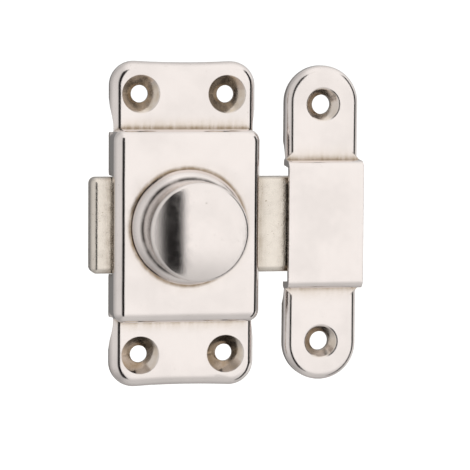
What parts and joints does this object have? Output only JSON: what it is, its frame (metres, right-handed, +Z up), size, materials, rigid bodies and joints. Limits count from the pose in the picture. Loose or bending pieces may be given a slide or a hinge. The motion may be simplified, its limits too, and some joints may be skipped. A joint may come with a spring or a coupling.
{
  "type": "toggle bolt latch",
  "caption": "Upright surface latch in nickel-plated pressed steel: a round domed knob turns to slide a flat bolt sideways under a separate strap keeper.",
  "frame": {"origin": "on the mounting plane behind the knob's axis, at the centre of the case's four screw holes", "axes": "+Z up along the case, +X the way the bolt is thrown, -Y out of the mounting plane towards the knob"},
  "size_m": [0.0504, 0.0218, 0.06],
  "materials": {
    "case_nickel": "satin nickel plate on pressed steel",
    "keeper_nickel": "satin nickel plate on pressed steel",
    "bolt_nickel": "grainy, duller nickel plate",
    "knob_nickel": "semi-bright nickel plate",
    "inner_steel": "plain zinc-plated steel",
    "spring_steel": "oiled spring steel"
  },
  "bodies": {
    "case": {"case": "case_nickel", "spring_washer": "spring_steel"},
    "knob": {"knob_cap": "knob_nickel", "knob_skirt": "knob_nickel", "spindle": "inner_steel", "crank_plate": "inner_steel", "drive_pin": "inner_steel"},
    "bolt": {"bolt": "bolt_nickel"},
    "keeper": {"keeper": "keeper_nickel"}
  },
  "joints": [
    {"name": "knob_turn", "type": "hinge", "parent": "case", "child": "knob", "pos_m": [0, 0, 0], "axis": [0, -1, 0], "range_deg": [0, 90]},
    {"name": "bolt_slide", "type": "slide", "parent": "case", "child": "bolt", "axis": [1, 0, 0], "range_m": [-0.008, 0]},
    {"name": "keeper_away", "type": "slide", "parent": "case", "child": "keeper", "axis": [1, 0, 0], "range_m": [0, 0.012]}
  ],
  "couplings": [
    {"joint": "bolt_slide", "follows": "knob_turn", "m_per_rad": -0.0050418}
  ]
}
